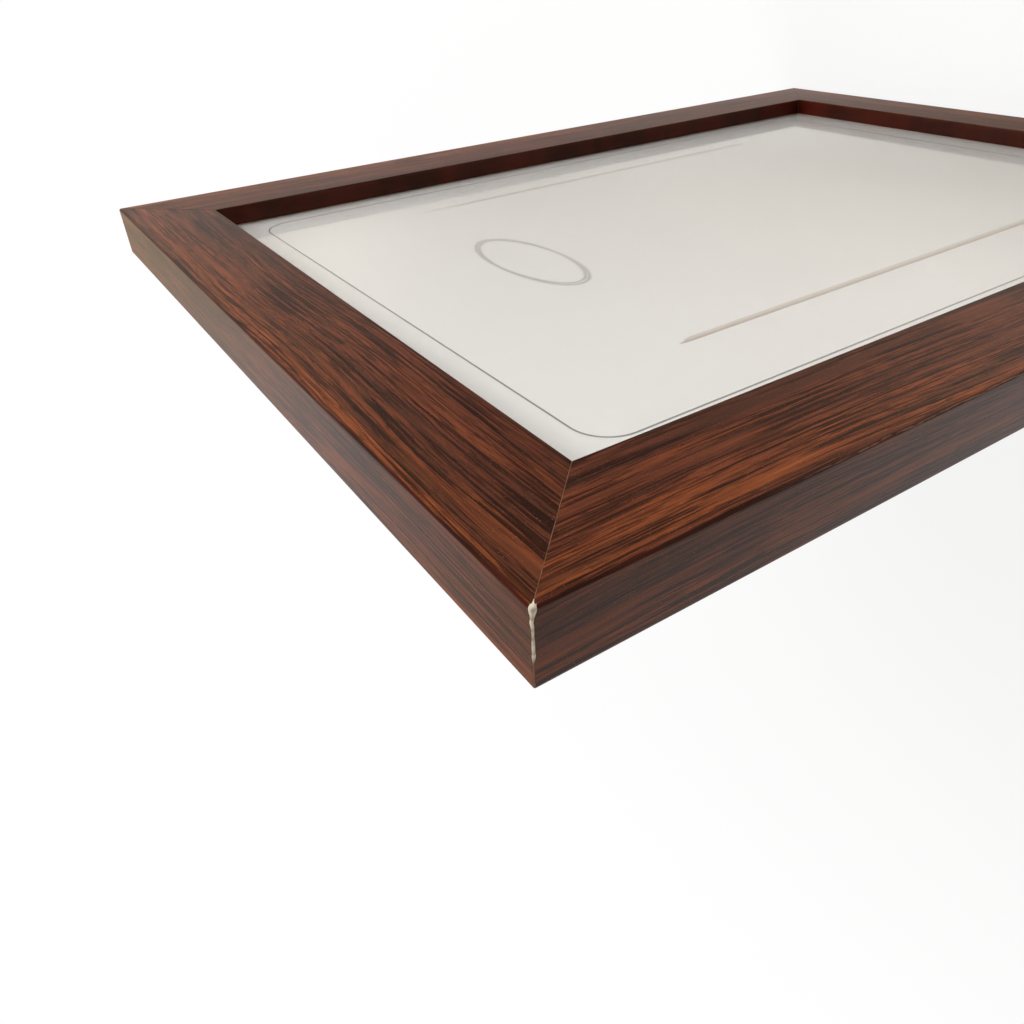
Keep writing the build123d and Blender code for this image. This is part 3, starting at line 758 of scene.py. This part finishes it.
grey_ink = offset_ink("grey_offset_ink", "#898983", "#9a9a93", 2)
silver_ink = offset_ink("pale_silver_offset_ink", "#d6d4cd", "#dddbd4", 3)
dull_silver_ink = offset_ink("dull_silver_offset_ink", "#bcbab3", "#c6c4bd", 3)
brown_ink = offset_ink("soft_brown_offset_ink", "#c3b2a6", "#ccbdb1", 4)
tan_ink = offset_ink("tan_offset_ink", "#cbbdb1", "#d3c7bc", 4)
pale_ink = offset_ink("pale_tan_offset_ink", "#d3cabe", "#d9d1c6", 4)

show(ink_line("print_border", askew(border_path()), BORDER_LINE, True), "frame", "printed_paper", grey_ink)
# Each line of the ring: its half axes, its width and swell, how far it is raised, and its ink
for name, half_axes, width, swell, raised, ink in (
    ("print_oval", (24.1 * MM, 10.05 * MM), 1.4 * MM, 1.4 * MM, 0.0, silver_ink),
    ("print_oval_outer", (24.8 * MM, 10.3 * MM), 0.36 * MM, 0.4 * MM, OVERPRINT, dull_silver_ink),
    ("print_oval_inner", (23.3 * MM, 9.8 * MM), 0.36 * MM, 0.4 * MM, OVERPRINT, dull_silver_ink),
):
    show(oval_line(name, half_axes, width, swell, raised), "frame", "printed_paper", ink)
# Each rule and the shade beside it: its place across, its top and that end's point, its foot, its width and
# the share it swells by, how far it is raised, and its ink
for name, across, top, point, foot, width, swell, raised, ink in (
    ("print_rule_left", -65.35 * MM, 257.3 * MM, RULE_POINT, 92 * MM, 1.0 * MM, 0.3, OVERPRINT, brown_ink),
    ("print_rule_left_shade", -64.35 * MM, 255.3 * MM, RULE_POINT, 94 * MM, 1.1 * MM, 0.9, 0.0, pale_ink),
    ("print_rule_right", 71.1 * MM, 255.0 * MM, 38 * MM, 92 * MM, 1.0 * MM, 0.3, OVERPRINT, tan_ink),
    ("print_rule_right_shade", 70.1 * MM, 248.0 * MM, 33 * MM, 94 * MM, 1.1 * MM, 0.9, 0.0, pale_ink),
):
    mesh = rule_line(name, across, top, point, foot, width, swell, raised)
    show(mesh, "frame", "printed_paper", ink)


# The backing board: thin hardboard that presses the sheet and the pane against the lip.
# Its smooth brown face is outward, and the fittings are riveted through it.
HARDBOARD_FIBRE = (0.7 * MM, 2.0 * MM, 2.6 * MM)
HARDBOARD_CLOUD = 35 * MM
# Hardboard: wood fibre pressed hot and hard. The eye sees dark and light brown fibres under a dull polish.
brown_hardboard, tree, shader = start_material("brown_hardboard")
place = add(tree, "TexCoord").outputs["Object"]
fibre_scale = tuple(1 / size for size in HARDBOARD_FIBRE)
fibre_place = add(tree, "Mapping", {"Vector": place, "Scale": fibre_scale}).outputs[0]
fibres = {"Vector": fibre_place, "Scale": 1.0, "Detail": 4.0, "Roughness": 0.65}
fibres = add(tree, "TexNoise", fibres).outputs[0]
cloud = add(tree, "TexNoise", {"Vector": place, "Scale": 1 / HARDBOARD_CLOUD, "Detail": 2.0}).outputs[0]
contrast = add(tree, "MapRange", {"Value": fibres, "From Min": 0.32, "From Max": 0.68}).outputs[0]
fibrous = {0: contrast, MIX_A: linear("#54371f"), MIX_B: linear("#8a6542")}
fibrous = add(tree, "Mix", fibrous, data_type="RGBA").outputs[MIXED]
mottled = {0: cloud, MIX_A: fibrous, MIX_B: linear("#6f4d33")}
mottled = add(tree, "Mix", mottled, data_type="RGBA").outputs[MIXED]
bump = add(tree, "Bump", {"Height": fibres, "Strength": 0.3, "Distance": 0.05 * MM})
tree.links.new(mottled, shader.inputs["Base Color"])
tree.links.new(bump.outputs[0], shader.inputs["Normal"])
shader.inputs["Roughness"].default_value = 0.6
dress(brown_hardboard, "backing_board")


# The swivel clips: stamped zinc-plated strips with a bent finger tab, two to a side.
# A turned rivet holds each one loosely, so that its tip swings into the groove of the rail.
dress(zinc_steel, *[f"clip_{side}_{number}" for side in RAILS for number in (1, 2)])
dress(zinc_steel, "clip_rivets")


# The sawtooth hangers: bent zinc-plated strips with teeth for a nail, one for each way up.
# Two rivets hold each one to the board.
dress(zinc_steel, "hanger_portrait", "hanger_landscape", "hanger_rivets")


# The strut's hinge: two stamped zinc-plated leaves with rolled barrels, which turn on a steel pin.
# One leaf is riveted to the board and the other to the leg.
dress(zinc_steel, "hinge_pin", "hinge_board_leaf", "hinge_leg_leaf", "board_leaf_rivets", "leg_leaf_rivets")


# The strut: a leg sawn from the same hardboard as the backing board, wider at the foot.
# It swings out behind on its hinge to stand the frame on a table.
dress(brown_hardboard, "strut_leg")


# The studio: a white floor that keeps the frame's shadow near it, soft boxes, and white all round.
# The room in front of the frame is dimmer than the white behind it, and shows only where the lacquer,
# the pane and the zinc mirror it. Distances are in metres.
FLOOR_HALF = 20.0
SHADOW_REACH = (0.25, 0.9)
SHADOW_SHARE = 0.8
FILL_LEVEL = 0.25
WHITE = linear("#ffffff")
ROOM_TINT = linear("#c1b9ab")
ROOM_EDGE_SLANT = (0.20, 1, 0)
DIM_PLACE = (0.35, -0.50, 0)
floor_mesh = bpy.data.meshes.new("studio_floor")
floor_edge = np.array([(-1, -1, 0), (1, -1, 0), (1, 1, 0), (-1, 1, 0)]) * FLOOR_HALF
floor_mesh.from_pydata(floor_edge.tolist(), [], [(0, 1, 2, 3)])
floor = bpy.data.objects.new("studio_floor", floor_mesh)
bpy.context.collection.objects.link(floor)
floor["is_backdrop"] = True
# Matt white paint: the eye sees plain white with the frame's soft shadow
pale_floor, tree, shader = start_material("matt_white_floor")
shader.inputs["Base Color"].default_value = linear("#f2f2f0")
shader.inputs["Roughness"].default_value = 0.9
rays = add(tree, "LightPath").outputs
mirrored = {0: rays["Is Glossy Ray"], 1: rays["Is Transmission Ray"]}
mirrored = add(tree, "Math", mirrored, operation="MAXIMUM").outputs[0]
place = add(tree, "TexCoord").outputs["Object"]
away = add(tree, "VectorMath", {0: place}, operation="LENGTH").outputs["Value"]
whiter = {"Value": away, "From Min": SHADOW_REACH[0], "From Max": SHADOW_REACH[1], "To Min": SHADOW_SHARE}
whiter = add(tree, "MapRange", whiter, interpolation_type="SMOOTHSTEP").outputs[0]
glowing = add(tree, "Math", {0: rays["Is Camera Ray"], 1: whiter}, operation="MULTIPLY").outputs[0]
glowing = add(tree, "Math", {0: glowing, 1: mirrored}, operation="MAXIMUM").outputs[0]
past_room = add(tree, "VectorMath", {0: place, 1: ROOM_EDGE_SLANT}, operation="DOT_PRODUCT").outputs["Value"]
from_dim = add(tree, "VectorMath", {0: place, 1: DIM_PLACE}, operation="DISTANCE").outputs["Value"]
spot = add(tree, "SeparateXYZ", {0: place}).outputs
# The room's tints over one another: beside the frame, far to the right, in a dim place, at the frame's foot,
# where it is painted shade of the frame on the mirrored floor, and behind the room's edge. Each has the
# distance from which it comes in and the one at which it is full.
room = ROOM_TINT
for distance, begins, full, tint in (
    (spot["X"], 0.12, -0.03, linear("#d8d0c4")),
    (spot["X"], 0.6, 1.1, linear("#a89c8a")),
    (from_dim, 0.62, 0.18, linear("#57514b")),
    (spot["Y"], -0.085, -0.015, linear("#a6a095")),
    (past_room, -0.02, 0.05, WHITE),
):
    share = {"Value": distance, "From Min": begins, "From Max": full}
    share = add(tree, "MapRange", share, interpolation_type="SMOOTHSTEP").outputs[0]
    room = add(tree, "Mix", {0: share, MIX_A: room, MIX_B: tint}, data_type="RGBA").outputs[MIXED]
glow = {0: rays["Is Camera Ray"], MIX_A: room, MIX_B: WHITE}
glow = add(tree, "Mix", glow, data_type="RGBA").outputs[MIXED]
glow = add(tree, "Emission", {"Color": glow, "Strength": 1.0}).outputs[0]
floor_look = add(tree, "MixShader", {0: glowing, 1: shader.outputs[0], 2: glow}).outputs[0]
tree.links.new(floor_look, tree.nodes["Material Output"].inputs["Surface"])
floor_mesh.materials.append(pale_floor)

# The white round the floor: plain white to the camera and an even fill on the object. What is mirrored is the
# room in front and a backdrop behind, which goes from a shaded left through white to a warm right.
BACKDROP_EDGE = (-0.2, 0.15)
BACKDROP_TINTS = ((0.0, "#a8a29a"), (0.60, "#dccfc0"), (0.86, "#ffffff"), (0.96, "#ffe4bc"))
world = bpy.data.worlds.new("white_studio")
world.use_nodes = True
tree = world.node_tree
rays = add(tree, "LightPath").outputs
mirrored = {0: rays["Is Glossy Ray"], 1: rays["Is Transmission Ray"]}
mirrored = add(tree, "Math", mirrored, operation="MAXIMUM").outputs[0]
way = add(tree, "SeparateXYZ", {0: add(tree, "TexCoord").outputs["Generated"]}).outputs
behind = {"Value": way["Y"], "From Min": BACKDROP_EDGE[0], "From Max": BACKDROP_EDGE[1]}
behind = add(tree, "MapRange", behind, interpolation_type="SMOOTHSTEP").outputs[0]
backdrop = add(tree, "ValToRGB", {0: way["X"]})
elements = backdrop.color_ramp.elements
elements[1].position = BACKDROP_TINTS[-1][0]
for position, _ in BACKDROP_TINTS[1:-1]:
    elements.new(position)
for element, (_, tint) in zip(elements, BACKDROP_TINTS):
    element.color = linear(tint)
room = {0: behind, MIX_A: ROOM_TINT, MIX_B: backdrop.outputs[0]}
room = add(tree, "Mix", room, data_type="RGBA").outputs[MIXED]
glow = {0: mirrored, MIX_A: (FILL_LEVEL, FILL_LEVEL, FILL_LEVEL, 1), MIX_B: room}
glow = add(tree, "Mix", glow, data_type="RGBA").outputs[MIXED]
glow = {0: rays["Is Camera Ray"], MIX_A: glow, MIX_B: WHITE}
glow = add(tree, "Mix", glow, data_type="RGBA").outputs[MIXED]
tree.links.new(glow, tree.nodes["Background"].inputs["Color"])
bpy.context.scene.world = world

# The soft boxes: each one's place and size in metres, and its power in watts. All aim at the frame's middle.
AIM = Vector((0, 0, OBJECT_HEIGHT / 2))
LAMPS = {
    "right_softbox": ((1.25, -0.36, 0.40), 0.7, 6.0),
    "front_softbox": ((0.30, -0.85, 1.10), 0.8, 13.5),
    "back_softbox": ((-0.4, 1.3, 0.9), 1.0, 12.0),
}
for name, (position, size, power) in LAMPS.items():
    lamp = bpy.data.lights.new(name, "AREA")
    lamp.shape = "SQUARE"
    lamp.size = size
    lamp.energy = power
    holder = bpy.data.objects.new(name, lamp)
    holder.location = position
    holder.rotation_euler = (AIM - Vector(position)).to_track_quat("-Z", "Y").to_euler()
    holder.visible_glossy = False
    bpy.context.collection.objects.link(holder)

# The camera: close to the upper left corner, with the front of the frame as its upward side.
# Its place, its way forward and up, and its lens were fitted to the frame's edges.
CAMERA_PLACE = Vector((-191.72, -78.84, 381.53)) * MM
CAMERA_FORWARD = Vector((0.69486, 0.57862, -0.42704))
CAMERA_UP = Vector((0.4655, -0.81453, -0.3462))
CAMERA_LENS = 28.54
CAMERA_SENSOR = 36.0
NEAREST_SEEN = 5 * MM
camera_data = bpy.data.cameras.new("camera")
camera_data.lens = CAMERA_LENS
camera_data.sensor_width = CAMERA_SENSOR
camera_data.clip_start = NEAREST_SEEN
camera = bpy.data.objects.new("camera", camera_data)
side_way = CAMERA_FORWARD.cross(CAMERA_UP).normalized()
up_way = side_way.cross(CAMERA_FORWARD).normalized()
turn = Matrix((side_way, up_way, -CAMERA_FORWARD)).transposed().to_4x4()
camera.matrix_world = Matrix.Translation(CAMERA_PLACE) @ turn
bpy.context.collection.objects.link(camera)
bpy.context.scene.camera = camera
bpy.context.scene.view_settings.view_transform = "Standard"

low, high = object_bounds()
